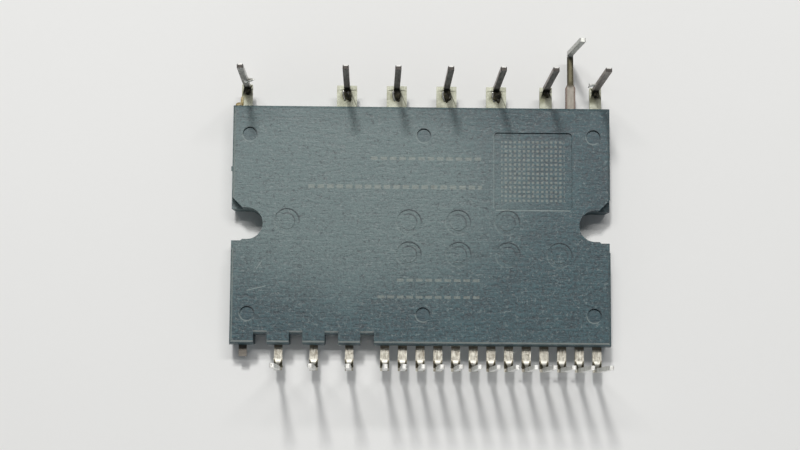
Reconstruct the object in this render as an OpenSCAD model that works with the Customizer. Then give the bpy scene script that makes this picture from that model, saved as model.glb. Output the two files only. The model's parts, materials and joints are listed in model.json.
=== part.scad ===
// Three-phase inverter IGBT module in a transfer-moulded dual-in-line package.
// Millimetres, +Z up. The heat-sink face lies on z = 0 and its middle is the origin.
// The row of power leads is on the +Y side, the row of control leads on the -Y side,
// and both rows stand up past the marking face.

/* [Moulding] */
// Length of the moulding at the parting line
body_l = 38.3; // [37.4:0.1:42]
// Width of the moulding at the parting line
body_w = 24.2; // [23.4:0.1:27]
// Height from the heat-sink face to the marking face
body_h = 3.5; // [3.4:0.05:4.5]
// Height of the parting line above the heat-sink face
parting_z = 2.1; // [1.9:0.05:2.2]
// Draft of the side walls, in degrees
draft_angle = 5; // [1:0.5:7]
// Bevel round the marking face
top_bevel = 0.27; // [0.05:0.01:0.4]

/* [Screw slots] */
// Distance between the centres of the two screw slots
slot_pitch = 35; // [34:0.1:36]
// Width of each screw slot
slot_w = 3.2; // [2.6:0.1:4]
// Chamfer at the mouth of each slot, above the parting line
slot_chamfer = 1.2; // [0.4:0.1:1.4]

/* [Insulation notches] */
// Width of each notch between the floating-supply leads
notch_w = 1.35; // [0.8:0.05:1.8]
// Depth of each notch at the parting line
notch_depth = 1.0; // [0.6:0.05:1.6]

/* [Mould marks] */
// Diameter of the ejector-pin marks
ejector_d = 1.45; // [0.8:0.05:2.4]
// Depth of the ejector-pin marks
ejector_depth = 0.2; // [0.04:0.01:0.3]
// Distance of the outer ejector marks from the middle, along the body
ejector_x = 17.35; // [16.9:0.05:17.5]
// Distance of the ejector marks from the middle, across the body
ejector_y = 9.05; // [8.6:0.05:9.6]
// Outer diameter of the ring marks
ring_od = 2.5; // [2.1:0.05:2.8]
// Inner diameter of the ring marks
ring_id = 1.6; // [1:0.05:1.9]
// Depth of the ring marks
ring_depth = 0.07; // [0.02:0.01:0.1]
// Side of the square recess for the data code
code_side = 7.9; // [6:0.1:8]
// Corner radius of the data-code recess
code_r = 0.4; // [0.2:0.05:1]
// Depth of the data-code recess
code_depth = 0.18; // [0.04:0.01:0.25]
// How far the gate stub stands proud of the end wall
gate_len = 0.12; // [0.05:0.01:0.5]

/* [Leads] */
// Thickness of the lead frame
lead_t = 0.4; // [0.3:0.05:0.5]
// Distance of the standing power pins from the middle of the body
power_row_y = 14.2; // [14:0.05:15]
// Distance of the standing control pins from the middle of the body
control_row_y = 14.45; // [14:0.05:15]
// Inside radius of the bend of each lead
bend_r = 0.12; // [0.05:0.01:0.3]
// Radius of the stiffening gusset in the bend
gusset_r = 0.8; // [0.4:0.05:1]
// How much wider than the pin the gusset starts
gusset_flare = 0.5; // [0.1:0.05:0.5]
// Height of the pin tips above the heat-sink face
tip_z = 12; // [8:0.1:14]
// Length of the taper of the bent lead, from its flat part to its pin
lead_taper = 0.4; // [0.1:0.05:0.6]
// How far the end of each flat part rises towards its pin
lead_rise = 0.05; // [0.01:0.01:0.1]
// Chamfer round each pin tip
tip_chamfer = 0.1; // [0.04:0.01:0.2]
// Grid of the control leads
control_grid = 1.778; // [1.7:0.001:1.79]
// Width of the flat part of most control leads
control_w = 0.9; // [0.8:0.02:1.2]
// Width of the flat part of the floating-supply leads
float_w = 0.83; // [0.6:0.01:1.2]
// Width of the standing pins in the control row
control_pin_w = 0.5; // [0.4:0.02:0.56]
// Grid of the power leads
power_grid = 2.54; // [2.5:0.01:2.56]
// Width of the flat part of the P, U, V and W leads
power_w = 2.05; // [1.6:0.05:2.3]
// Width of the standing pins in the power row
power_pin_w = 0.6; // [0.5:0.02:0.8]
// How far the cut stub of the first control lead reaches out
stub_reach = 1.15; // [0.5:0.05:1.5]

/* [Bent lead] */
// Distance of the standing part of the bent lead from the middle of the body
bent_y = 18; // [17:0.1:19]
// Height of the tip of the bent lead
bent_tip_z = 8.2; // [6:0.1:9]
// Sideways lean of the bent lead at its tip
bent_lean = 0.5; // [0:0.05:0.8]

/* [Heat path] */
// Thickness of the copper foil on the heat-sink face
foil_t = 0.1; // [0.05:0.01:0.15]
// Thickness of the insulating sheet
sheet_t = 0.2; // [0.1:0.01:0.25]
// Length of the foil and of the sheet
sheet_l = 29; // [27.5:0.1:30]
// Width of the foil and of the sheet
sheet_w = 13.4; // [12.5:0.1:14]
// Distance of the middle of the sheet from the middle of the body
sheet_y = 3.9; // [3.5:0.1:4.2]

/* [Chips] */
// Side of each IGBT chip
igbt_side = 2.6; // [2:0.1:3]
// Side of each freewheeling diode chip
diode_side = 2; // [1.5:0.1:2.4]
// Side of each bootstrap diode chip
boot_side = 0.6; // [0.4:0.05:0.75]
// Side of each driver chip
driver_side = 1.7; // [1.2:0.1:2]
// Thickness of the power chips
chip_t = 0.2; // [0.1:0.05:0.3]
// Thickness of the driver chips and of the bootstrap diode chips
driver_t = 0.25; // [0.1:0.05:0.3]

/* [Wires] */
// Diameter of the aluminium power wires
power_wire_d = 0.26; // [0.15:0.01:0.3]
// Diameter of the gold control wires
gold_wire_d = 0.1; // [0.06:0.01:0.14]
// Bend radius of the wires
wire_r = 0.24; // [0.2:0.01:0.26]

/* [Hidden] */
CONTROL_SLOTS = [2, 4, 6, 8, 9, 10, 11, 12, 13, 14, 15, 16, 17, 18, 19, 20];
NOTCH_SLOTS = [1, 3, 5, 7];
FLOATING = 3;
PHASES = ["u", "v", "w"];

fn_mark = 24;                                // facets shown on the round marks
fn_wire = 8;                                 // facets shown round a power wire
fn_gold = 6;                                 // facets shown round a control wire
fn_elbow = 16;                               // facets shown along a full turn of a wire's bend
over = 1;                                    // how far a cutter runs past a face
control_steps = 20;                          // grid steps along the control row
power_steps = 14;                            // grid steps along the power row
ring_x = [-13.5, -1.25, 3.7, 8.65];          // ring marks on the middle of the body
ring_y = 0.25;
low_ring_x = [-1.25, 3.75, 8.7, 13.9];       // ring marks of the second, lower row
low_ring_y = -3;
mid_ejector_x = 0.2;                         // the middle ejector marks, along the body
code_at = [11.25, 5.5];                      // middle of the recess for the data code
gate_y = [5.5, 5.95];                        // the gate stub's two sides
stub_w = 0.8;                                // width of the cut stub
stub_in = 1.2;                               // how far the stub reaches inside
nc_w = 1.1;                                  // widths of the flat parts of the other power leads
nu_w = 1.25;
nv_w = 1;
nw_w = 1.2;
bevel_z = body_h - top_bevel;
wall_inset = (bevel_z - parting_z) * tan(draft_angle);
top_inset = wall_inset + top_bevel;
low_inset = parting_z * tan(draft_angle);
lead_top = parting_z;                        // the leads lie just under the parting line
lead_low = lead_top - lead_t;
out_r = bend_r + lead_t;                     // outside radius of a lead's bend
pad_low = foil_t + sheet_t;                  // the die pads stand on the sheet
pad_top = pad_low + lead_t;
chip_top = pad_top + chip_t;
pad_y0 = sheet_y - sheet_w / 2 + 0.6;        // edge of the pads on the control side
pad_y1 = sheet_y + sheet_w / 2 - 0.6;        // edge of the pads on the power side
pad_gap = 0.6;                               // gap between neighbouring die pads
low_pad_rim = 0.75;                          // pad on each side of a low-side chip
low_pad_w = igbt_side + 2 * low_pad_rim;     // width of a low-side die pad
pads_left = -sheet_l / 2 + 0.6;
riser_gap = 0.3;                             // clearance from the high-side pad to the first output lead
high_pad_x1 = power_x(6) - power_w / 2 - riser_gap;
high_pitch = (high_pad_x1 - pads_left) / 3;
bars_room = 3.2;                             // pad kept free under the emitter bars
igbt_y = pad_y1 - bars_room - igbt_side / 2;
diode_y = pad_y0 + 0.7 + diode_side / 2;
bar_w = 0.6;                                 // width of the emitter bars
bar_gap = 0.25;                              // gap between neighbouring emitter bars
lead_y0 = pad_y1 - lead_t;                   // inner ends of the power leads
bar_y1 = lead_y0 - 0.3;                      // outer edge of the first emitter bar
control_in = 3.4;                            // how far the control leads reach inside
driver_pad_y = 1.2;                          // middle of a driver pad, inside the lead ends
driver_pad_w = driver_side + 0.3;
wire_gap = 0.12;                             // clearance between a wire end and a chip edge

HIGH_PAD_LEAD = 6;                           // control leads that carry the driver pads
LOW_PAD_LEAD = 12;
driver_pitch = driver_side + 1.4;

function control_x(slot) = (slot - control_steps / 2) * control_grid;
function power_x(slot) = (slot - power_steps / 2) * power_grid;
function low_pad_x(i) = high_pad_x1 + pad_gap + i * (low_pad_w + pad_gap) + low_pad_w / 2;
function high_chip_x(i) = pads_left + (i + 0.5) * high_pitch;
function bar_y(i) = bar_y1 - bar_w / 2 - i * (bar_w + bar_gap);
function driver_x(i) = control_x(CONTROL_SLOTS[HIGH_PAD_LEAD]) + (i - 2) * driver_pitch;

control_end = -body_w / 2 + control_in;      // y of the control leads' inner ends
low_driver_x = control_x(CONTROL_SLOTS[LOW_PAD_LEAD]);
driver_y = control_end + driver_pad_y;
boot_y = control_end - 0.7;                  // the bootstrap diodes, just behind the lead ends

// ---- helpers ------------------------------------------------------------------------------

// A box from one corner to the other
module span(a, b) {
    translate(a) cube(b - a);
}

// Extrudes a profile drawn in (y, z) along X, with its middle at x
module along_x(x, w) {
    translate([x - w / 2, 0, 0]) rotate([90, 0, 90]) linear_extrude(w) children();
}

// Extrudes a profile drawn in (x, z) along Y, from y0 to y1
module along_y(y0, y1) {
    translate([0, y1, 0]) rotate([90, 0, 0]) linear_extrude(y1 - y0) children();
}

// Section of a drafted block, w wide at the parting line, with the bevel of its top edge
module drafted_section(w) {
    polygon([
        [-w / 2 + low_inset, 0], [-w / 2, parting_z], [-w / 2 + wall_inset, bevel_z],
        [-w / 2 + top_inset, body_h], [w / 2 - top_inset, body_h],
        [w / 2 - wall_inset, bevel_z], [w / 2, parting_z], [w / 2 - low_inset, 0]
    ]);
}

// A wire of diameter d with n sides and two standing legs, from point a up to height z and down to b
module wire(a, b, z, d, n = fn_wire) {
    run = norm([b[0] - a[0], b[1] - a[1]]);
    turn = atan2(b[1] - a[1], b[0] - a[0]);
    translate([a[0], a[1], 0]) rotate([0, 0, turn]) {
        translate([0, 0, a[2]]) cylinder(d = d, h = z - wire_r - a[2], $fn = n);
        translate([run, 0, b[2]]) cylinder(d = d, h = z - wire_r - b[2], $fn = n);
        translate([wire_r, 0, z]) rotate([0, 90, 0]) cylinder(d = d, h = run - 2 * wire_r, $fn = n);
        translate([wire_r, 0, z - wire_r]) rotate([90, 0, 0]) rotate([0, 0, 90])
            rotate_extrude(angle = 90, $fn = fn_elbow) translate([wire_r, 0]) circle(d = d, $fn = n);
        translate([run - wire_r, 0, z - wire_r]) rotate([90, 0, 0])
            rotate_extrude(angle = 90, $fn = fn_elbow) translate([wire_r, 0]) circle(d = d, $fn = n);
    }
}

// ---- moulding -----------------------------------------------------------------------------

// One screw slot, open at the +X end, with chamfered mouth corners above the parting line
module slot_cut() {
    mouth = body_l / 2 - slot_pitch / 2;
    translate([slot_pitch / 2, 0, -over]) cylinder(d = slot_w, h = body_h + 2 * over, $fn = fn_mark);
    span([slot_pitch / 2, -slot_w / 2, -over], [body_l / 2 + over, slot_w / 2, body_h + over]);
    translate([slot_pitch / 2, 0, parting_z]) linear_extrude(body_h) polygon([
        [mouth - slot_chamfer, -slot_w / 2], [mouth + over, -slot_w / 2 - slot_chamfer - over],
        [mouth + over, slot_w / 2 + slot_chamfer + over], [mouth - slot_chamfer, slot_w / 2]
    ]);
}

// One notch in the control side: drafted back wall, straight cheeks
module notch_cut(x) {
    back = -body_w / 2 + notch_depth;
    along_x(x, notch_w) polygon([
        [-body_w / 2 - over, -over], [back + low_inset, -over], [back + low_inset, 0],
        [back, parting_z], [back + wall_inset, bevel_z], [back + top_inset, body_h],
        [back + top_inset, body_h + over],
        [-body_w / 2 - over, body_h + over]
    ]);
}

module ejector_mark(x, y) {
    translate([x, y, body_h - ejector_depth]) cylinder(d = ejector_d, h = over, $fn = fn_mark);
}

module ring_mark(x, y) {
    translate([x, y, body_h - ring_depth]) difference() {
        cylinder(d = ring_od, h = over, $fn = fn_mark);
        translate([0, 0, -over]) cylinder(d = ring_id, h = 3 * over, $fn = fn_mark);
    }
}

// Square recess with rounded corners
module code_recess() {
    half = code_side / 2;
    translate([code_at[0], code_at[1], body_h - code_depth]) linear_extrude(over) {
        square([code_side - 2 * code_r, code_side], center = true);
        square([code_side, code_side - 2 * code_r], center = true);
        for (x = [-1, 1], y = [-1, 1]) translate([x * (half - code_r), y * (half - code_r)])
            circle(r = code_r, $fn = fn_mark);
    }
}

module mould_outside() {
    difference() {
        union() {
            intersection() {
                along_x(0, body_l + 2 * over) drafted_section(body_w);
                along_y(-body_w, body_w) drafted_section(body_l);
            }
            // gate stub, broken off just proud of the end wall
            span([-body_l / 2 - gate_len, gate_y[0], lead_low], [-body_l / 2 + over, gate_y[1], parting_z]);
        }
        for (side = [0, 1]) mirror([side, 0, 0]) slot_cut();
        for (slot = NOTCH_SLOTS) notch_cut(control_x(slot));
        for (x = [-ejector_x, mid_ejector_x, ejector_x], y = [-ejector_y, ejector_y]) ejector_mark(x, y);
        for (x = ring_x) ring_mark(x, ring_y);
        for (x = low_ring_x) ring_mark(x, low_ring_y);
        code_recess();
    }
}

// ---- heat path ----------------------------------------------------------------------------

module sheet_outline(z0, t) {
    translate([-sheet_l / 2, sheet_y - sheet_w / 2, z0]) cube([sheet_l, sheet_w, t]);
}

module heat_foil() {
    color("peru") sheet_outline(0, foil_t);
}

module insulating_sheet() {
    color("whitesmoke") sheet_outline(foil_t, sheet_t);
}

// ---- leads --------------------------------------------------------------------------------

// Side profile of a bent lead in (y, z): flat from y0 to the bend, then up to the tip
module bent_profile(y0, y_pin, z_tip) {
    y_bend = y_pin + lead_t / 2 - out_r;
    translate([y0, lead_low]) square([y_bend - y0, lead_t]);
    translate([y_pin - lead_t / 2, lead_top + bend_r]) square([lead_t, z_tip - lead_top - bend_r]);
    intersection() {
        translate([y_bend, lead_top + bend_r]) difference() {
            circle(r = out_r, $fn = fn_mark);
            circle(r = bend_r, $fn = fn_mark);
        }
        translate([y_bend, lead_low]) square([out_r, out_r]);
    }
}

// Front outline of a lead in (x, z): the wide flat part, then the pin, which may lean
module front_outline(w, pin_w, z_tip, lean = 0) {
    h = pin_w / 2;
    polygon([
        [-w / 2, 0], [w / 2, 0], [w / 2, lead_top], [h, lead_top + lead_rise],
        [h + lean, z_tip - tip_chamfer], [h + lean - tip_chamfer, z_tip],
        [-h + lean + tip_chamfer, z_tip], [-h + lean, z_tip - tip_chamfer],
        [-h, lead_top + lead_rise], [-w / 2, lead_top]
    ]);
}

// Hollow-faced gusset on top of the plate, against the pin's inner face at y_face
module gusset(pin_w, y_face) {
    intersection() {
        along_x(0, pin_w + gusset_flare) difference() {
            translate([y_face - gusset_r, lead_top - lead_t / 2]) square([gusset_r + lead_t / 2, gusset_r + lead_t / 2]);
            translate([y_face - gusset_r, lead_top + gusset_r]) circle(r = gusset_r, $fn = fn_mark);
        }
        linear_extrude(tip_z) polygon([
            [-(pin_w + gusset_flare) / 2, y_face - gusset_r], [(pin_w + gusset_flare) / 2, y_face - gusset_r],
            [pin_w / 2, y_face], [pin_w / 2, y_face + lead_t / 2], [-pin_w / 2, y_face + lead_t / 2], [-pin_w / 2, y_face]
        ]);
    }
}

// A lead on the +Y side at x: its flat part from y0, bent up to a pin whose middle is at y_pin
module row_lead(x, w, pin_w, y0, y_pin) {
    translate([x, 0, 0]) {
        intersection() {
            along_x(0, w) bent_profile(y0, y_pin, tip_z);
            along_y(y0 - over, y_pin + over) front_outline(w, pin_w, tip_z);
        }
        gusset(pin_w, y_pin - lead_t / 2);
    }
}

// A lead of the power row, w wide, at place slot of the grid
module power_lead(slot, w) {
    row_lead(power_x(slot), w, power_pin_w, lead_y0, power_row_y);
}

// Die pad with its riser up to the plane of the leads
module die_pad(x0, x1, lead_x, w) {
    span([x0, pad_y0, pad_low], [x1, pad_y1, pad_top]);
    span([lead_x - w / 2, pad_y1 - lead_t, pad_low], [lead_x + w / 2, pad_y1, lead_top]);
}

module lead_color() {
    color("silver") children();
}

module nc_lead() {
    lead_color() power_lead(0, nc_w);
}

module p_lead() {
    lead_color() {
        power_lead(4, power_w);
        die_pad(pads_left, high_pad_x1, power_x(4), power_w);
    }
}

// Output lead i with the die pad of its low-side chips
module output_lead(i) {
    slot = 6 + 2 * i;
    pad_x = low_pad_x(i);
    lead_color() {
        power_lead(slot, power_w);
        die_pad(pad_x - low_pad_w / 2, pad_x + low_pad_w / 2, power_x(slot), power_w);
    }
}

// Emitter bar that runs from its lead to above the low-side pad of phase i
module emitter_bar(i, lead_x, w) {
    x0 = low_pad_x(i) - 0.6;
    span([x0, bar_y(i) - bar_w / 2, lead_low], [lead_x + w / 2, bar_y(i) + bar_w / 2, lead_top]);
    span([lead_x - w / 2, bar_y(i) - bar_w / 2, lead_low], [lead_x + w / 2, pad_y1, lead_top]);
}

module nu_lead() {
    lead_color() {
        power_lead(12, nu_w);
        emitter_bar(0, power_x(12), nu_w);
    }
}

// The bent lead: pulled out flat, narrow past the row, then turned up further out
module nv_lead() {
    h = power_pin_w / 2;
    y_wide = power_row_y + lead_t / 2;
    lead_color() {
        translate([power_x(13), 0, 0]) {
            translate([0, 0, lead_low]) linear_extrude(lead_t) polygon([
                [-nv_w / 2, lead_y0], [nv_w / 2, lead_y0], [nv_w / 2, y_wide], [h, y_wide + lead_taper],
                [-h, y_wide + lead_taper], [-nv_w / 2, y_wide]
            ]);
            intersection() {
                along_x(0, power_pin_w + 2 * over) bent_profile(y_wide, bent_y, bent_tip_z);
                along_y(y_wide - over, bent_y + over)
                    front_outline(power_pin_w, power_pin_w, bent_tip_z, bent_lean);
            }
        }
        emitter_bar(1, power_x(13), nv_w);
    }
}

module nw_lead() {
    lead_color() {
        power_lead(14, nw_w);
        emitter_bar(2, power_x(14), nw_w);
    }
}

// Control lead i, counted from 0 at the second pin of the package
module control_lead(i) {
    w = i < FLOATING ? float_w : control_w;
    x = control_x(CONTROL_SLOTS[i]);
    lead_color() {
        mirror([0, 1, 0]) row_lead(x, w, control_pin_w, -control_end, control_row_y);
        if (i == HIGH_PAD_LEAD) driver_pad(driver_x(0), driver_x(2), x, w);
        if (i == LOW_PAD_LEAD) driver_pad(low_driver_x, low_driver_x, x, w);
    }
}

module stub_lead() {
    lead_color() span(
        [control_x(0) - stub_w / 2, -body_w / 2 - stub_reach, lead_low],
        [control_x(0) + stub_w / 2, -body_w / 2 + stub_in, lead_top]
    );
}

// Pad under the driver chips from the one at x0 to the one at x1, with the neck to its lead at x
module driver_pad(x0, x1, x, w) {
    half = driver_pad_w / 2;
    span([x0 - half, driver_y - half, lead_low], [x1 + half, driver_y + half, lead_top]);
    span([x - w / 2, control_end, lead_low], [x + w / 2, driver_y, lead_top]);
}

// ---- chips --------------------------------------------------------------------------------

module chip(x, y, z, side, t) {
    translate([x - side / 2, y - side / 2, z]) cube([side, side, t]);
}

module igbt_high(i) {
    color("slategray") chip(high_chip_x(i), igbt_y, pad_top, igbt_side, chip_t);
}

module igbt_low(i) {
    color("slategray") chip(low_pad_x(i), igbt_y, pad_top, igbt_side, chip_t);
}

module diode_high(i) {
    color("lightslategray") chip(high_chip_x(i), diode_y, pad_top, diode_side, chip_t);
}

module diode_low(i) {
    color("lightslategray") chip(low_pad_x(i), diode_y, pad_top, diode_side, chip_t);
}

module driver_high(i) {
    color("dimgray") chip(driver_x(i), driver_y, lead_top, driver_side, driver_t);
}

module driver_low() {
    color("dimgray") chip(low_driver_x, driver_y, lead_top, driver_side, driver_t);
}

module boot_diode(i) {
    color("dimgray") chip(control_x(CONTROL_SLOTS[i]), boot_y, lead_top, boot_side, driver_t);
}

// ---- wires --------------------------------------------------------------------------------

// Emitter wire and diode wire of high-side phase i, over to the output pad of that phase
module wires_high(i) {
    x = high_chip_x(i);
    y_out = diode_y + (2 - i) * 0.9;
    color("gainsboro") {
        wire([x + 0.5, igbt_y - 0.7 + 0.35 * i, chip_top],
             [low_pad_x(i) - low_pad_w / 2 + 0.4, y_out, pad_top], chip_top + 1.2 + 0.35 * i, power_wire_d);
        wire([x - 0.4, diode_y, chip_top], [x - 0.4, igbt_y, chip_top], chip_top + 0.8, power_wire_d);
    }
}

// Emitter wire of low-side phase i up to its bar, and the wire to its diode
module wires_low(i) {
    x = low_pad_x(i);
    color("gainsboro") {
        wire([x + 0.3, igbt_y + 0.6, chip_top], [x + 0.3, bar_y(i), lead_top], lead_top + 0.5, power_wire_d);
        wire([x + 0.6, diode_y, chip_top], [x + 0.6, igbt_y - 0.5, chip_top], chip_top + 0.8, power_wire_d);
    }
}

// Gold wire from a driver chip, at dx from its middle, to the end of control lead i
module gold_wire(chip_x, dx, i) {
    wire([chip_x + dx, driver_y - driver_side / 2 + wire_gap + gold_wire_d, lead_top + driver_t],
         [control_x(CONTROL_SLOTS[i]), control_end - wire_gap - gold_wire_d, lead_top],
         lead_top + driver_t + wire_r + 0.25, gold_wire_d, fn_gold);
}

module control_wires() {
    color("gold") {
        for (i = [0 : 2]) gold_wire(driver_x(i), -0.5, i + 3);
        for (i = [8 : 15]) if (i != LOW_PAD_LEAD) gold_wire(low_driver_x, 0.19 * (i - LOW_PAD_LEAD), i);
    }
}

// ---- the moulding round its inserts ---------------------------------------------------------

module inserts() {
    heat_foil();
    insulating_sheet();
    stub_lead();
    for (i = [0 : len(CONTROL_SLOTS) - 1]) control_lead(i);
    nc_lead();
    p_lead();
    for (i = [0 : 2]) output_lead(i);
    nu_lead();
    nv_lead();
    nw_lead();
    for (i = [0 : 2]) {
        igbt_high(i);
        igbt_low(i);
        diode_high(i);
        diode_low(i);
        driver_high(i);
        boot_diode(i);
        wires_high(i);
        wires_low(i);
    }
    driver_low();
    control_wires();
}

module mould_body() {
    color("slategray") difference() {
        mould_outside();
        inserts();
    }
}

// ---- output -------------------------------------------------------------------------------

mould_body();
heat_foil();
insulating_sheet();
stub_lead();
for (i = [0 : len(CONTROL_SLOTS) - 1]) control_lead(i);
nc_lead();
p_lead();
for (i = [0 : 2]) output_lead(i);
nu_lead();
nv_lead();
nw_lead();
for (i = [0 : 2]) {
    igbt_high(i);
    igbt_low(i);
    diode_high(i);
    diode_low(i);
    driver_high(i);
    boot_diode(i);
    wires_high(i);
    wires_low(i);
}
driver_low();
control_wires();
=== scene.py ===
import json
import math

import bpy
import numpy as np
from mathutils import Matrix, Vector


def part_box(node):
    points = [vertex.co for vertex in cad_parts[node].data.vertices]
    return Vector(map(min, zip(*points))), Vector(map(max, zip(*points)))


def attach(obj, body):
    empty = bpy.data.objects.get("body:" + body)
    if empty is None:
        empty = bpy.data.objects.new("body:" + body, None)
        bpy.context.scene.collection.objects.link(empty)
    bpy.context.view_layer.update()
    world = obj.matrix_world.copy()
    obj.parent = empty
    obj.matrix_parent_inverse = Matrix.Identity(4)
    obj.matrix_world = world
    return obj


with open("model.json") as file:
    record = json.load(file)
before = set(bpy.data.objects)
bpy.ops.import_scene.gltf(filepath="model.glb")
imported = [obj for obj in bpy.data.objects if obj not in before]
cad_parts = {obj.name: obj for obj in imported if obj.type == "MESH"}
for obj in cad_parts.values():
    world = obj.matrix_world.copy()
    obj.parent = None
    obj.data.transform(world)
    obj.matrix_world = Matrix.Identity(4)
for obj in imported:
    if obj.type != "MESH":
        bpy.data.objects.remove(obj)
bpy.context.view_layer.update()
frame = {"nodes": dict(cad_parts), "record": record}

MM = 0.001
RECORD = frame["record"]
NODES = frame["nodes"]


def in_mm(node):
    """Lowest and highest corner of a CAD node, in millimetres."""
    low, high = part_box(node)
    return np.array(low) / MM, np.array(high) / MM


BODY_LOW, BODY_HIGH = in_mm("mould_body")
TOP_Z = BODY_HIGH[2]                           # marking face
FACE_DEPTH = 0.22                              # how far its marks and its bevel reach below it
CONTROL_LEADS = sorted(n for n in NODES if n.startswith("control_lead_"))
WIDE_LEADS = ["p_lead", "u_lead", "v_lead", "w_lead"]
POWER_LEADS = ["nc_lead", *WIDE_LEADS, "nu_lead", "nw_lead"]
# where each power lead's pin stands, in steps of the power grid from the middle
POWER_PINS = {"nc_lead": -7, "p_lead": -3, "u_lead": -1, "v_lead": 1, "w_lead": 3, "nu_lead": 5, "nw_lead": 7}
POWER_GRID, CONTROL_GRID = 2.54, 1.778
LEAD_T = 0.4                                   # thickness of the lead frame
LEAD_TOP = 2.1                                 # top of the flat parts of the leads
TIP_Z = in_mm("p_lead")[1][2]                  # height of the pin tips
PIN_FOOT = in_mm("p_lead")[1][1] - LEAD_T      # inner faces of the standing pins, both rows
CONTROL_FOOT = in_mm("control_lead_5")[0][1] + LEAD_T
ROOT_Y = BODY_LOW[1]                           # control side of the moulding
BENT_END = in_mm("nv_lead")[1][1]              # outer face of the bent lead
BENT_X = 6 * POWER_GRID                        # middle of the bent lead
BENT_SHOULDER = PIN_FOOT + 0.75                # where the bent lead narrows
CODE_MIDDLE, CODE_SIDE = np.array([11.25, 5.5]), 7.9      # the square recess
CODE_LOW, CODE_HIGH = CODE_MIDDLE - CODE_SIDE / 2, CODE_MIDDLE + CODE_SIDE / 2
EJECTOR_MARKS = [(x, y) for x in (-17.35, 0.2, 17.35) for y in (-9.05, 9.05)]
RING_MARKS = [(x, 0.25) for x in (-13.5, -1.25, 3.7, 8.65)] + [(x, -3.0) for x in (-1.25, 3.75, 8.7, 13.9)]
# each round mark's middle, radius and how pale its painted highlight is
MARKS = ([(m, 0.725, 0.9) for m in EJECTOR_MARKS] + [(m, 1.25, 0.42) for m in RING_MARKS]
         + [(m, 0.80, 0.30) for m in RING_MARKS])
# lines of dashes: from x to x, at y, and their height
DASH_LINES = [(-5.1, 6.1, 6.7, 0.34), (-11.4, 6.1, 3.8, 0.40),
              (-2.4, 6.1, -5.6, 0.28), (-4.3, 6.1, -7.3, 0.28)]
# short strokes: from one end to the other
SCRATCHES = [((-16.5, -4.65), (-15.9, -3.75)), ((-17.4, -6.75), (-15.5, -6.3))]


# ---- shader graphs --------------------------------------------------------------------------

class Value:
    """A shader socket. Each operator adds one Math node, so numbers and sockets mix freely."""

    def __init__(self, graph, socket):
        self.graph = graph
        self.socket = socket

    def __add__(self, other):
        return self.graph.math("ADD", self, other)

    __radd__ = __add__

    def __sub__(self, other):
        return self.graph.math("SUBTRACT", self, other)

    def __rsub__(self, other):
        return self.graph.math("SUBTRACT", other, self)

    def __mul__(self, other):
        return self.graph.math("MULTIPLY", self, other)

    __rmul__ = __mul__

    def __truediv__(self, other):
        return self.graph.math("DIVIDE", self, other)

    def __pow__(self, other):
        return self.graph.math("POWER", self, other)

    def __abs__(self):
        return self.graph.math("ABSOLUTE", self)

    def least(self, other):
        return self.graph.math("MINIMUM", self, other)

    def most(self, other):
        return self.graph.math("MAXIMUM", self, other)

    def wave(self, period):
        """Position within one period, from 0 to 1."""
        return self.graph.math("FRACT", self / period)

    def step(self, start, end):
        """0 before start, 1 after end, smooth between them; start may be the larger one."""
        return self.graph.node("MapRange", {"interpolation_type": "SMOOTHSTEP"},
                               {0: self, 1: start, 2: end, 3: 0.0, 4: 1.0})


class Graph:
    """One material, or the world, as a graph of shader nodes."""

    def __init__(self, owner):
        owner.use_nodes = True
        self.owner = owner
        self.tree = owner.node_tree
        self.tree.nodes.clear()

    def node(self, kind, settings=None, sockets=None, out=0):
        """Adds a node: its settings first, then a value or a link for each socket. Returns output out."""
        made = self.tree.nodes.new("ShaderNode" + kind)
        for name, value in (settings or {}).items():
            setattr(made, name, value)
        for name, value in (sockets or {}).items():
            socket = made.inputs[name]
            if isinstance(value, Value):
                self.tree.links.new(value.socket, socket)
            else:
                socket.default_value = value
        return Value(self, made.outputs[out]) if made.outputs else made

    def math(self, operation, *terms):
        """One Math node on numbers or sockets."""
        return self.node("Math", {"operation": operation}, dict(enumerate(terms)))

    def mix(self, factor, a, b):
        """Colour a where factor is 0 and colour b where it is 1."""
        def rgba(c):
            return c if isinstance(c, Value) else (*c, 1.0)
        return self.node("Mix", {"data_type": "RGBA"}, {0: factor, 6: rgba(a), 7: rgba(b)}, out=2)

    def scaled(self, vector, factors):
        """A vector with each axis times its own factor."""
        return self.node("VectorMath", {"operation": "MULTIPLY"}, {0: vector, 1: factors})

    def place(self):
        """Object coordinates in millimetres."""
        return self.scaled(self.node("TexCoord", out=3), (1 / MM,) * 3)

    def axes(self, vector):
        """The X, Y and Z of a vector."""
        parts = self.node("SeparateXYZ", None, {0: vector})
        return [Value(self, output) for output in parts.socket.node.outputs]

    def noise(self, vector, scale, detail=3.0, rough=0.55, stretch=(1, 1, 1), distort=0.0):
        """Noise from about 0 to 1; scale is in waves per millimetre."""
        sockets = {"Vector": self.scaled(vector, stretch), "Scale": scale, "Detail": detail,
                   "Roughness": rough, "Distortion": distort}
        return self.node("TexNoise", None, sockets)

    def bump(self, height, strength, distance):
        """A normal tilted by the slope of height; distance is in metres."""
        return self.node("Bump", None, {"Height": height, "Strength": strength, "Distance": distance})

    def surface(self, **sockets):
        """The Principled surface of this material, wired to its output."""
        named = {k.replace("_", " "): v for k, v in sockets.items()}
        shader = self.node("BsdfPrincipled", None, named)
        self.node("OutputMaterial", None, {0: shader})
        return self.owner


def new_graph(name):
    """A new material, as an empty graph."""
    return Graph(bpy.data.materials.new(name))


# ---- materials ------------------------------------------------------------------------------

def near(x, y, middle):
    """Distance of a place from middle, in plan."""
    return ((x - middle[0]) ** 2.0 + (y - middle[1]) ** 2.0) ** 0.5


def inside(x, y, low, high, soft=0.03):
    """1 inside the rectangle from low to high, 0 outside, over a soft edge."""
    across = (x - low[0]).least(high[0] - x)
    along = (y - low[1]).least(high[1] - y)
    return across.least(along).step(-soft, soft)


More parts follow.
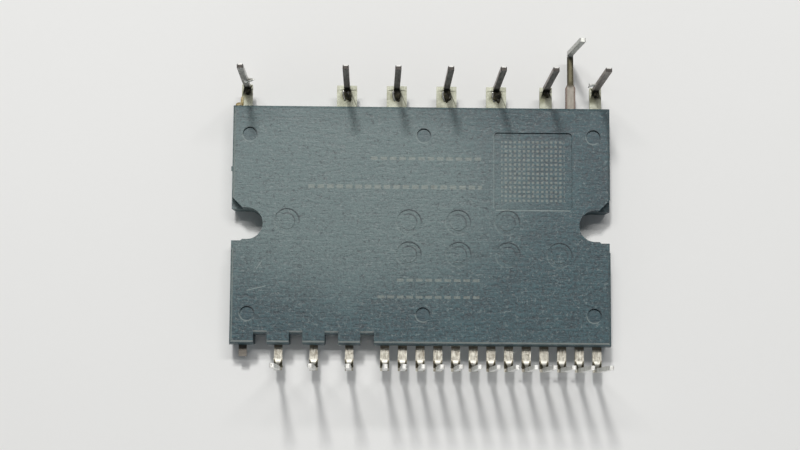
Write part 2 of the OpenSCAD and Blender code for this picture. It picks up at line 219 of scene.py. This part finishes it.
def rims(x, y):
    """Painted highlight on the lower left walls and painted shade on the upper right walls of the round mould
    marks, as two masks: a band round each circle, shared out by the side of the circle's middle on which it
    lies."""
    pale, dark = 0.0, 0.0
    for middle, radius, highlight_part in MARKS:
        band = 1.0 - abs(near(x, y, middle) - radius).step(0.03, 0.12)
        low_side = ((middle[1] - y) * 0.85 + (middle[0] - x) * 0.5) / radius
        pale = band * low_side.step(0.1, 0.7) * highlight_part + pale
        dark = band * low_side.step(-0.1, -0.7) + dark
    return pale, dark


def window_rim_highlights(x, y):
    """Painted highlight on the recess's lower rim, and fainter on its left rim."""
    (x0, y0), (x1, y1) = CODE_LOW, CODE_HIGH
    lower = inside(x, y, (x0 + 0.2, y0 - 0.09), (x1 - 0.2, y0 + 0.05))
    left = inside(x, y, (x0 - 0.07, y0 + 0.2), (x0 + 0.05, y1 - 0.2))
    return lower + left * 0.6


def code_lattice(x, y):
    """A regular lattice of square cells in the recess: one dot in every cell."""
    pitch, rim = 0.46, 0.75
    dot = (abs(x.wave(pitch) - 0.5).most(abs(y.wave(pitch) - 0.5))).step(0.30, 0.20)
    return dot * inside(x, y, CODE_LOW + rim, CODE_HIGH - rim)


def dash_lines(x, y):
    """Lines of plain even dashes, in place of the printing."""
    pitch, dashes = 0.95, 0.0
    for x0, x1, middle, height in DASH_LINES:
        dash = (x - x0).wave(pitch).step(0.72, 0.66)
        dashes = dash * inside(x, y, (x0, middle - height / 2), (x1, middle + height / 2)) + dashes
    return dashes


def scratches(x, y):
    """Short pale strokes: the distance from each stroke's line, within its length."""
    strokes = 0.0
    for (x0, y0), (x1, y1) in SCRATCHES:
        run = math.hypot(x1 - x0, y1 - y0)
        ux, uy = (x1 - x0) / run, (y1 - y0) / run
        along = (x - x0) * ux + (y - y0) * uy
        off = abs((x - x0) * -uy + (y - y0) * ux)
        strokes = off.step(0.07, 0.02) * along.step(-0.05, 0.1) * along.step(run + 0.05, run - 0.1) + strokes
    return strokes


def mould_material():
    """Slate blue-grey filled epoxy: drawn streaks along the body, coarse grain, a paler middle that is partly
    dust and partly painted sheen, a bevel paler as painted reflection, mark rims with painted highlight and
    shade, and the generic marks that stand in for the printing."""
    g = new_graph("filled_epoxy")
    p = g.place()
    x, y, z = g.axes(p)
    nx, ny, nz = g.axes(g.node("TexCoord", out=1))
    # streaks along the body, grain, large soft clouds, pale specks and dark pits
    drawn = g.noise(p, 1.0, 5, 0.7, (0.70, 3.2, 3.2))
    threads = g.noise(p, 1.0, 3, 0.6, (0.6, 8.0, 8.0))
    grain = g.noise(p, 3.4, 4, 0.8)
    cloud = g.noise(p, 0.22, 4, 0.6, distort=0.6)
    speck = g.noise(p, 3.6, 3, 0.7).step(0.55, 0.68)
    pits = g.noise(p, 3.0, 3, 0.6).step(0.42, 0.30)
    # painted sheen with dust: a wide pale spot left of the middle, where the face looks brightest, paler
    # where the grain is pale
    sheen_spot = near(x * 0.55, y * 0.9, (-4.4, 3.1)).step(15.0, 3.0) + (cloud - 0.5) * 0.4
    tone = (drawn - 0.5) * 1.1 + (threads - 0.5) * 0.7 + (grain - 0.5) * 3.0 + (cloud - 0.5) * 0.6 + 0.5
    colour = g.mix(tone.step(-0.1, 1.1), (0.000, 0.014, 0.024), (0.030, 0.088, 0.105))
    dust_and_sheen = sheen_spot.step(-0.05, 1.0) * ((grain - 0.5) * 1.6 + (drawn - 0.5) * 0.7 + 0.68).least(1.0).most(0.0)
    colour = g.mix(dust_and_sheen, colour, (0.128, 0.182, 0.180))
    colour = g.mix(speck * 0.45, colour, (0.21, 0.25, 0.25))
    colour = g.mix(pits * 0.6, colour, (0.002, 0.010, 0.016))
    # top: the marking face and the floors of its marks; face: without the floors
    top = nz.step(0.93, 0.99) * z.step(TOP_Z - FACE_DEPTH - 0.03, TOP_Z - FACE_DEPTH)
    face = top * z.step(TOP_Z - 0.02, TOP_Z - 0.01)
    rim_highlight, rim_shade = rims(x, y)
    sunk = top * z.step(TOP_Z - 0.12, TOP_Z - 0.16) * (1.0 - inside(x, y, CODE_LOW, CODE_HIGH))
    colour = g.mix(sunk * 0.35, colour, (0.010, 0.045, 0.065))
    # painted shade on the upper right walls of the round marks
    colour = g.mix(rim_shade * top * 0.65, colour, (0.001, 0.010, 0.018))
    # painted highlight on the lower left walls of the round marks and on the recess's lower and left rims,
    # with the real scratches
    marks = (rim_highlight * 0.55 + window_rim_highlights(x, y) * 0.6) * top + scratches(x, y) * face * 0.6
    colour = g.mix(marks.least(0.8) * (grain * 0.8 + 0.6).least(1.0), colour, (0.24, 0.29, 0.28))
    printed = (code_lattice(x, y) * 0.42 + dash_lines(x, y) * 0.36) * top * (grain * 0.8 + 0.5).least(1.0)
    colour = g.mix(printed, colour, (0.32, 0.33, 0.28))
    # painted reflection of the bright front and the lit table on the bevel: paler most on the control side
    # and then on the left
    bevel = nz.step(0.3, 0.5) * nz.step(0.95, 0.85) * z.step(TOP_Z - FACE_DEPTH, TOP_Z - 0.10)
    bevel_reflection = bevel * (ny.step(-0.4, -0.6) * 0.80 + nx.step(-0.4, -0.6) * 0.45 + 0.12)
    colour = g.mix(bevel_reflection * (grain * 1.1 + 0.35).least(1.0), colour, (0.30, 0.33, 0.31))
    rough = (grain - 0.5) * 0.30 + (drawn - 0.5) * 0.25 + (cloud - 0.5) * 0.10 + 0.47
    height = drawn * 0.45 + threads * 0.15 + grain * 0.5
    normal = g.bump(height, 0.6, 0.00009)
    return g.surface(Base_Color=colour, Roughness=rough, Normal=normal, Specular_IOR_Level=0.66)


def off_grid(x, pitch):
    """Distance sideways from the nearest line of a grid through the middle of the body."""
    return ((x / pitch + 0.5).wave(1.0) - 0.5) * pitch


def power_tin(name, pin_dark, pin_light):
    """Dull plate of the power row: greenish white flats, darker than the control leads' tin as painted shade,
    with an olive darkening left of the pin's foot, a painted shadow of the pin below its foot whose edge
    slants away from it, grey-brown pins, a gusset painted dark as shade, and cut tips that are brown with a
    painted highlight on one edge."""
    g = new_graph(name)
    p = g.place()
    x, y, z = g.axes(p)
    nz = g.axes(g.node("TexCoord", out=1))[2]
    u = off_grid(x, POWER_GRID)
    cloud = g.noise(p, 1.1, 4, 0.65)
    grain = g.noise(p, 5.0, 4, 0.7)
    runs = g.noise(p, 1.6, 4, 0.6, (3.2, 0.7, 0.5))
    tone = (cloud - 0.5) * 1.3 + (grain - 0.5) * 0.9 + (runs - 0.5) * 0.6 + 0.5
    # painted shade: the flats darker than the same tin on the control leads
    colour = g.mix(tone.step(-0.1, 1.1), (0.17, 0.17, 0.125), (0.48, 0.49, 0.41))
    # on the flat: an olive darkening left of the pin's foot, the pin's painted shadow below its foot, and the
    # painted edge of that shadow slanting away
    olive = near(u * 1.25, y, (-0.42, PIN_FOOT - 0.75)).step(0.75, 0.15)
    colour = g.mix(olive * (cloud * 0.9 + 0.35).least(1.0) * 0.8, colour, (0.17, 0.17, 0.10))
    pin_shadow = near(u, y * 0.7, (0.12, (PIN_FOOT - 0.5) * 0.7)).step(0.8, 0.2)
    colour = g.mix(pin_shadow * 0.55, colour, (0.09, 0.085, 0.06))
    # painted shadow edge: a dark line slanting from the pin's foot across the flat
    shadow_edge = abs(u - 0.28 + (y - PIN_FOOT) * 0.42).step(0.10, 0.03)
    shadow_edge = shadow_edge * y.step(PIN_FOOT - 0.1, PIN_FOOT - 0.4)
    colour = g.mix(shadow_edge * 0.65, colour, (0.07, 0.07, 0.055))
    # above the flat: the pin, its gusset painted dark as shade, and the cut tip with a painted highlight on
    # its outer edge
    standing = z.step(LEAD_TOP + 0.25, LEAD_TOP + 0.6)
    colour = g.mix(standing, colour, g.mix(runs.step(0.3, 0.7), pin_dark, pin_light))
    gusset = z.step(LEAD_TOP + 0.04, LEAD_TOP + 0.12) * z.step(LEAD_TOP + 1.5, LEAD_TOP + 0.7)
    gusset = gusset * y.step(PIN_FOOT + 0.06, PIN_FOOT - 0.02)
    colour = g.mix(gusset * 0.9, colour, (0.028, 0.028, 0.018))
    cut = z.step(TIP_Z - 0.12, TIP_Z - 0.08) * nz.step(0.5, 0.8)
    colour = g.mix(cut, colour, (0.060, 0.054, 0.050))
    # painted highlight along the cut tip's outer edge
    edge = cut * y.step(PIN_FOOT + 0.27, PIN_FOOT + 0.33)
    colour = g.mix(edge, colour, (0.52, 0.52, 0.50))
    rough = (grain - 0.5) * 0.25 + cloud * 0.12 + 0.46
    normal = g.bump(grain * 0.6 + runs * 0.4, 0.5, 0.00006)
    return g.surface(Base_Color=colour, Metallic=0.85, Roughness=rough, Normal=normal)


def bent_tin():
    """The bent lead: a pinkish grey flat part with red-brown edges, an olive-brown neck, a hook painted
    patchy white as a reflection of the lit table, and a band painted black as shade in the bend before it."""
    g = new_graph("bent_lead_tin")
    p = g.place()
    x, y, z = g.axes(p)
    u = abs(off_grid(x, POWER_GRID))
    cloud = g.noise(p, 1.6, 4, 0.65)
    grain = g.noise(p, 5.0, 4, 0.7)
    runs = g.noise(p, 1.4, 4, 0.6, (4.5, 0.7, 0.7))
    colour = g.mix(runs * 0.6 + cloud * 0.4, (0.17, 0.145, 0.12), (0.38, 0.36, 0.32))
    # red-brown along the edges, then the olive neck with dirt where it starts
    red = u.step(0.25, 0.42) * (cloud * 1.2 + 0.2).least(1.0)
    colour = g.mix(red * 0.8, colour, (0.10, 0.055, 0.045))
    neck = y.step(BENT_SHOULDER - 0.3, BENT_SHOULDER + 0.1)
    core = u.step(0.22, 0.05)
    olive = g.mix(core * (runs * 1.2).least(1.0), (0.055, 0.048, 0.028), (0.22, 0.20, 0.13))
    colour = g.mix(neck, colour, olive)
    dirt = near(x, y, (BENT_X, BENT_SHOULDER)).step(0.5, 0.1)
    colour = g.mix(dirt * 0.7, colour, (0.045, 0.038, 0.022))
    # painted reflection: the hook patchy white like the lit table it faces; painted shade: a black band in
    # the bend before it
    hook = (y.step(BENT_END - 0.75, BENT_END - 0.55)).most(z.step(LEAD_TOP + 0.35, LEAD_TOP + 0.5))
    white = g.mix(grain.step(0.35, 0.65), (0.40, 0.40, 0.37), (0.74, 0.75, 0.72))
    colour = g.mix(hook, colour, white)
    # painted shade in the bend before the hook
    black = y.step(BENT_END - 0.95, BENT_END - 0.8) * y.step(BENT_END - 0.45, BENT_END - 0.6)
    colour = g.mix(black * 0.85, colour, (0.05, 0.05, 0.04))
    rough = (grain - 0.5) * 0.25 + cloud * 0.12 + 0.50
    normal = g.bump(grain * 0.5 + runs * 0.5, 0.6, 0.00007)
    return g.surface(Base_Color=colour, Metallic=0.75, Roughness=rough, Normal=normal)


def control_tin():
    """Control leads: brown-grey flats, paler than the same tin on the power row as painted light, with dark
    runs, roots painted dark as the moulding's shadow, a painted highlight on the gusset, darker flanks beside
    it, and pale pins."""
    g = new_graph("control_tin")
    p = g.place()
    x, y, z = g.axes(p)
    u = abs(off_grid(x, CONTROL_GRID))
    cloud = g.noise(p, 1.5, 4, 0.65)
    grain = g.noise(p, 5.5, 4, 0.7)
    runs = g.noise(p, 1.7, 4, 0.65, (3.6, 0.8, 0.8))
    tone = (runs - 0.5) * 1.9 + (cloud - 0.5) * 0.6 + (grain - 0.5) * 0.8 + 0.5
    # painted light: the flats paler than the same tin on the power row
    colour = g.mix(tone.step(-0.1, 1.1), (0.20, 0.175, 0.135), (0.74, 0.72, 0.64))
    # painted shadow of the moulding across the leads' roots, broken up by the runs
    root = y.step(ROOT_Y - 0.34, ROOT_Y - 0.18) * (runs * 1.0 + 0.35).least(1.0)
    colour = g.mix(root * 0.85, colour, (0.10, 0.075, 0.05))
    # the gusset widens away from the pin: a painted highlight within its width, darker just outside
    reach = y - CONTROL_FOOT
    spread = u - (reach * 0.30 + 0.07)
    low = z.step(LEAD_TOP + 1.0, LEAD_TOP + 0.6)
    low = low * reach.step(-0.12, -0.02)
    bright = spread.step(0.06, -0.06) * reach.step(0.95, 0.6) * low
    colour = g.mix(bright, colour, (0.42, 0.415, 0.38))
    flank = spread.step(-0.02, 0.08) * reach.step(0.88, 0.62) * low
    colour = g.mix(flank * (cloud * 0.9 + 0.6).least(1.0), colour, (0.055, 0.050, 0.034))
    # the pale pin, and dark specks everywhere
    standing = z.step(LEAD_TOP + 1.0, LEAD_TOP + 1.6)
    colour = g.mix(standing, colour, g.mix(cloud.step(0.25, 0.55), (0.56, 0.54, 0.49), (0.88, 0.88, 0.85)))
    specks = g.noise(p, 2.2, 3, 0.6).step(0.60, 0.70)
    colour = g.mix(specks * 0.7, colour, (0.14, 0.12, 0.09))
    rough = (grain - 0.5) * 0.25 + cloud * 0.10 + 0.42
    normal = g.bump(grain * 0.6 + runs * 0.4, 0.5, 0.00006)
    return g.surface(Base_Color=colour, Metallic=0.9, Roughness=rough, Normal=normal)


def flux_material(name, dark, light):
    """Burnt flux: a glossy brown resin with paler, clearer patches."""
    g = new_graph(name)
    p = g.place()
    cloud = g.noise(p, 3.0, 4, 0.65)
    grain = g.noise(p, 12.0, 3, 0.6)
    normal = g.bump(cloud * 0.6 + grain * 0.4, 0.5, 0.00004)
    return g.surface(Base_Color=g.mix(cloud.step(0.35, 0.75), dark, light),
                     Roughness=(grain - 0.5) * 0.2 + 0.32, Normal=normal)


def solder_material():
    """Solder residue: bright grey, dimpled, tarnished in patches."""
    g = new_graph("solder")
    p = g.place()
    cloud = g.noise(p, 2.6, 4, 0.65)
    grain = g.noise(p, 9.0, 4, 0.65)
    colour = g.mix(cloud.step(0.35, 0.65), (0.46, 0.45, 0.40), (0.92, 0.92, 0.88))
    normal = g.bump(cloud * 0.5 + grain * 0.5, 0.6, 0.00004)
    return g.surface(Base_Color=colour, Metallic=0.9, Roughness=(grain - 0.5) * 0.2 + 0.34, Normal=normal)


def metal_material(name, dark, light, rough, scale):
    """A hidden metal piece: two tones of its colour, fine grain."""
    g = new_graph(name)
    p = g.place()
    cloud = g.noise(p, scale, 3, 0.6)
    grain = g.noise(p, scale * 8, 3, 0.6)
    normal = g.bump(grain, 0.2, 0.00002)
    return g.surface(Base_Color=g.mix(cloud, dark, light), Metallic=1.0,
                     Roughness=rough + (grain - 0.5) * 0.15, Normal=normal)


def plain_material(name, dark, light, rough, scale):
    """A hidden piece that isn't metal: two tones of its colour, fine grain."""
    g = new_graph(name)
    p = g.place()
    cloud = g.noise(p, scale, 3, 0.6)
    grain = g.noise(p, scale * 8, 3, 0.6)
    normal = g.bump(grain, 0.2, 0.00002)
    return g.surface(Base_Color=g.mix(cloud, dark, light),
                     Roughness=rough + (grain - 0.5) * 0.15, Normal=normal)


# ---- residue on the leads -------------------------------------------------------------------

def closed_skin(rings, first, last):
    """Points and faces of a closed skin: quads between neighbouring rings, and a fan of
    triangles from each end point to the ring beside it."""
    rows, sides = rings.shape[:2]
    points = np.vstack([rings.reshape(-1, 3), first, last])
    at = np.arange(rows * sides).reshape(rows, sides)
    turned = np.roll(at, -1, axis=1)
    quads = np.stack([at[:-1], turned[:-1], turned[1:], at[1:]], axis=-1).reshape(-1, 4)
    ends = np.full(sides, rows * sides)
    low_fan = np.stack([ends, turned[0], at[0]], axis=-1)
    high_fan = np.stack([ends + 1, at[-1], turned[-1]], axis=-1)
    return points, quads.tolist() + low_fan.tolist() + high_fan.tolist()


def lump(middle, radii, phase, uneven=0.16, rows=12, sides=20):
    """An uneven drop: an ellipsoid whose radius is 1 + uneven * sine of the angle up * (a wave
    of two and a wave of three round it, and one of four up it). phase shifts the waves."""
    up = np.linspace(0, math.pi, rows + 2)[1:-1, None]
    turn = np.linspace(0, 2 * math.pi, sides, endpoint=False)[None, :]
    swell = 1 + uneven * np.sin(up) * (np.sin(2 * turn + phase) * 0.6 + np.sin(3 * turn + 2 * phase) * 0.4
                                       + np.sin(4 * up + phase) * 0.3)
    rings = np.stack([np.sin(up) * np.cos(turn) * swell, np.sin(up) * np.sin(turn) * swell,
                      -np.cos(up) * np.ones_like(turn) * swell], axis=-1)
    poles = np.array([[0, 0, -1], [0, 0, 1]])
    return closed_skin(rings * radii + middle, poles[0] * radii + middle, poles[1] * radii + middle)


def spike(start, end, r0, r1, bow, phase, rows=14, sides=12):
    """A drawn-out thread: circles along the line from start to end, which bows sideways by a
    sine arch; the radius falls from r0 to r1 with a slight ripple."""
    start, end, bow = np.array(start), np.array(end), np.array(bow)
    share = np.linspace(0, 1, rows)[:, None]
    path = start + (end - start) * share + bow * np.sin(math.pi * share)
    along = (end - start) / np.linalg.norm(end - start)
    side = np.cross(along, [0.31, 0.17, 0.93])
    side /= np.linalg.norm(side)
    other = np.cross(along, side)
    turn = np.linspace(0, 2 * math.pi, sides, endpoint=False)
    circle = np.cos(turn)[:, None] * side + np.sin(turn)[:, None] * other
    radius = (r0 + (r1 - r0) * share) * (1 + 0.12 * np.sin(9 * share + phase))
    rings = path[:, None, :] + circle[None] * radius[:, :, None]
    return closed_skin(rings, path[0] - along * r0 * 0.6, path[-1] + along * r1 * 0.8)


def piece_from(name, skins, finish):
    """One object from several closed skins, in metres, riding on the root."""
    points, faces, count = [], [], 0
    for skin_points, skin_faces in skins:
        points.append(skin_points)
        faces += [[i + count for i in face] for face in skin_faces]
        count += len(skin_points)
    mesh = bpy.data.meshes.new(name)
    mesh.from_pydata((np.vstack(points) * MM).tolist(), [], faces)
    mesh.polygons.foreach_set("use_smooth", [True] * len(mesh.polygons))
    mesh.materials.append(finish)
    piece = bpy.data.objects.new(name, mesh)
    bpy.context.collection.objects.link(piece)
    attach(piece, "root")
    return piece


def pin_x(lead):
    """Middle of a power lead's pin, from its place on the power grid."""
    return POWER_PINS[lead] * POWER_GRID


def flux_drops(finish):
    """A drop of burnt flux down each gusset with a tail below it, heavier on the wide leads, and
    a splash beside it on the narrow ones."""
    skins = []
    for i, lead in enumerate(POWER_LEADS):
        x, wide = pin_x(lead), lead in WIDE_LEADS
        across, reach = (0.36, 0.62) if wide else (0.29, 0.34)
        drop = (x + 0.06, PIN_FOOT - reach * 0.7, LEAD_TOP + 0.12)
        tail = (x + 0.14, PIN_FOOT - reach * 1.4, LEAD_TOP + 0.02)
        skins.append(lump(drop, (across, reach, 0.28), i * 1.7 + 0.6, 0.34))
        skins.append(lump(tail, (across * 0.75, reach * 0.58, 0.09), i * 2.3, 0.4))
        if not wide:
            side = 1 if lead != "nw_lead" else -1
            root = (x + 0.25 * side, PIN_FOOT - 0.1, LEAD_TOP + 0.15)
            tip = (x + 0.52 * side, PIN_FOOT + 0.22, LEAD_TOP + 0.55)
            skins.append(spike(root, tip, 0.12, 0.04, (0, 0, 0.04), i))
    return piece_from("flux_drops", skins, finish)


def flux_stain(finish):
    """Amber flux that ran between the first lead and the moulding."""
    x = pin_x("nc_lead")
    skins = [lump((x - 0.78, BODY_HIGH[1] + 0.18, LEAD_TOP - 0.1), (0.38, 0.30, 0.14), 0.4, 0.3),
             lump((x - 0.50, BODY_HIGH[1] + 0.55, LEAD_TOP - 0.04), (0.15, 0.62, 0.10), 2.0, 0.15)]
    return piece_from("flux_stain", skins, finish)


def solder_threads(finish):
    """Threads and crumbs of solder: a bright line left of each wide lead's drop, a spur on the
    first and last power pins, and a crumb beside each of three right-hand control leads."""
    skins = []
    for i, lead in enumerate(WIDE_LEADS):
        x = pin_x(lead)
        top = (x - 0.36, PIN_FOOT - 0.18, LEAD_TOP + 0.20)
        end = (x - 0.20, PIN_FOOT - 1.12, LEAD_TOP + 0.06)
        skins.append(spike(top, end, 0.12, 0.09, (-0.06, 0, 0), i))
    x = pin_x("nc_lead")
    spur_root, spur_tip = (x + 0.12, PIN_FOOT + 0.15, 5.5), (x + 0.92, PIN_FOOT + 0.10, 6.0)
    skins.append(spike(spur_root, spur_tip, 0.34, 0.07, (0, 0, 0), 1.0))
    x = pin_x("nw_lead")
    spur_root, spur_tip = (x - 0.2, PIN_FOOT + 0.2, 4.6), (x - 0.95, PIN_FOOT + 0.1, 4.0)
    skins.append(spike(spur_root, spur_tip, 0.17, 0.08, (0, 0.1, 0), 2.0))
    barb_root, barb_tip = (x - 0.80, PIN_FOOT + 0.1, 4.1), (x - 0.92, PIN_FOOT + 0.42, 4.3)
    skins.append(spike(barb_root, barb_tip, 0.09, 0.04, (0, 0, 0), 2.6))
    crumbs = ((6, 0.11), (8, 0.17), (9, 0.15))           # the control grid line beside it, and its size
    for slot, size in crumbs:
        crumb = ((slot - 0.40) * CONTROL_GRID, CONTROL_FOOT - 0.02, LEAD_TOP - 0.15)
        skins.append(lump(crumb, np.array([1.3, 0.7, 0.8]) * size, slot, 0.3, 8, 14))
    return piece_from("solder_threads", skins, finish)


def flux_specks(finish):
    """Burnt crumbs beside the bends of the control leads, one on each side of a lead."""
    skins, draws = [], np.random.default_rng(5)
    stray, smallest, largest = 0.06, 0.05, 0.13
    for lead in CONTROL_LEADS:
        low, high = in_mm(lead)
        x = round((low[0] + high[0]) / 2 / CONTROL_GRID) * CONTROL_GRID
        for side in (-1, 1):
            dx, dy, dz = draws.uniform(-stray, stray, 3)
            size = draws.uniform(smallest, largest)
            spot = (x + side * (0.33 + dx), CONTROL_FOOT + 0.02 + dy, LEAD_TOP - 0.05 + dz)
            skins.append(lump(spot, (size * 1.4, size, size * 0.8), x + side, 0.3, 8, 12))
    return piece_from("flux_specks", skins, finish)


def residue():
    """What the iron left on the leads: four pieces in three finishes."""
    burnt = flux_material("burnt_flux", (0.016, 0.014, 0.008), (0.12, 0.105, 0.055))
    amber = flux_material("amber_flux", (0.22, 0.15, 0.05), (0.62, 0.52, 0.26))
    solder = solder_material()
    flux_drops(burnt)
    flux_specks(burnt)
    flux_stain(amber)
    solder_threads(solder)


def dress_nodes():
    """Every CAD node gets the material of its slot, or its own where it has one."""
    finishes = {
        "mould": mould_material(),
        "tin": control_tin(),
        "copper": metal_material("copper_foil", (0.55, 0.27, 0.16), (0.78, 0.45, 0.30), 0.35, 0.5),
        "insulation": plain_material("resin_sheet", (0.62, 0.60, 0.52), (0.76, 0.74, 0.66), 0.6, 0.6),
        "silicon": plain_material("silicon", (0.05, 0.055, 0.07), (0.11, 0.12, 0.15), 0.2, 0.8),
        "aluminium_wire": metal_material("aluminium_wire", (0.70, 0.70, 0.70), (0.85, 0.85, 0.84), 0.3, 2),
        "gold_wire": metal_material("gold_wire", (0.80, 0.56, 0.20), (0.95, 0.72, 0.32), 0.25, 2),
    }
    # the power pins' colours are darkened as painted shade on their inner faces
    power = power_tin("power_tin", (0.20, 0.175, 0.16), (0.42, 0.38, 0.35))
    pale = power_tin("pale_power_tin", (0.32, 0.31, 0.29), (0.66, 0.65, 0.62))
    bent = bent_tin()
    stub = metal_material("stub_tin", (0.10, 0.09, 0.08), (0.26, 0.24, 0.21), 0.45, 1.5)
    own = {"nv_lead": bent, "nc_lead": pale, "stub_lead": stub}
    own.update({lead: power for lead in POWER_LEADS if lead not in own})
    for part in RECORD["subparts"]:
        for place in NODES[part["node"]].material_slots:
            place.material = own.get(part["node"], finishes[part["material_slot"]])


# ---- stage, lights and camera ---------------------------------------------------------------

def table():
    """A matt white table top just under the heat-sink face."""
    half, drop = 1.5, 0.00001
    mesh = bpy.data.meshes.new("table_top")
    corners = [(-half, -half, -drop), (half, -half, -drop), (half, half, -drop), (-half, half, -drop)]
    mesh.from_pydata(corners, [], [(0, 1, 2, 3)])
    top = bpy.data.objects.new("table_top", mesh)
    bpy.context.collection.objects.link(top)
    g = new_graph("white_table")
    p = g.place()
    cloud = g.noise(p, 0.03, 4, 0.6)
    grain = g.noise(p, 1.2, 4, 0.6)
    tone = cloud * 0.7 + grain * 0.3
    colour = g.mix(tone, (0.80, 0.80, 0.79), (0.835, 0.835, 0.83))
    mesh.materials.append(g.surface(Base_Color=colour, Roughness=0.65, Specular_IOR_Level=0.2))


def lamp(name, place_mm, aim_mm, size_mm, share, colour):
    """A lamp, round or long in X. share is the part of full white that it gives a white table:
    power = share * pi^2 * distance^2 / cosine of the light's angle to the upright."""
    place, aim = Vector(place_mm) * MM, Vector(aim_mm) * MM
    line = place - aim
    data = bpy.data.lights.new(name, "AREA")
    long, tall = size_mm
    data.shape = "DISK" if long == tall else "RECTANGLE"
    data.size = long * MM
    if long != tall:
        data.size_y = tall * MM
    data.energy = share * math.pi ** 2 * line.length_squared / (line.z / line.length)
    data.color = colour
    lit = bpy.data.objects.new(name, data)
    lit.matrix_world = Matrix.Translation(place) @ line.to_track_quat("Z", "Y").to_matrix().to_4x4()
    bpy.context.collection.objects.link(lit)


def lights():
    """A small lamp and a long one behind the object, and light from the whole room:
    strength = zenith + (horizon - zenith) * low + front * low^2 * its part towards the control
    side, where low = 1 - height of the direction."""
    lamp("low_lamp", (-62, 280, 475), (0, 0, 0), (60, 60), 0.37, (1.01, 1.0, 0.98))
    lamp("long_lamp", (0, 290, 640), (0, 0, 0), (600, 44), 0.45, (1.01, 1.0, 0.98))
    world = bpy.data.worlds.new("room")
    bpy.context.scene.world = world
    g = Graph(world)
    _, y, z = g.axes(g.node("TexCoord", out=0))
    zenith, horizon, front = 0.06, 0.22, 1.3
    low = 1.0 - z.most(0.0)
    strength = zenith + low * (horizon - zenith) + (y * -front).most(0.0) * low * low
    sky = g.node("Background", None, {0: (0.96, 1.0, 1.04, 1.0), 1: strength})
    g.node("OutputWorld", None, {0: sky})


def camera():
    """Almost straight down, a little from the control side, with a long lens."""
    place = Vector((-4.922, -19.252, 165.870)) * MM
    yaw, pitch, roll = 0.01715, -0.11763, -0.00729
    turn = Matrix.Rotation(roll, 3, "Z") @ Matrix.Rotation(pitch, 3, "X") @ Matrix.Rotation(yaw, 3, "Y")
    data = bpy.data.cameras.new("camera")
    data.sensor_width = 36.0
    data.lens = 73.34
    data.clip_start = 0.01
    seen = bpy.data.objects.new("camera", data)
    seen.matrix_world = Matrix.Translation(place) @ turn.transposed().to_4x4()
    bpy.context.collection.objects.link(seen)
    bpy.context.scene.camera = seen


dress_nodes()
residue()
table()
lights()
camera()

view = bpy.context.scene.view_settings
view.view_transform = "Standard"
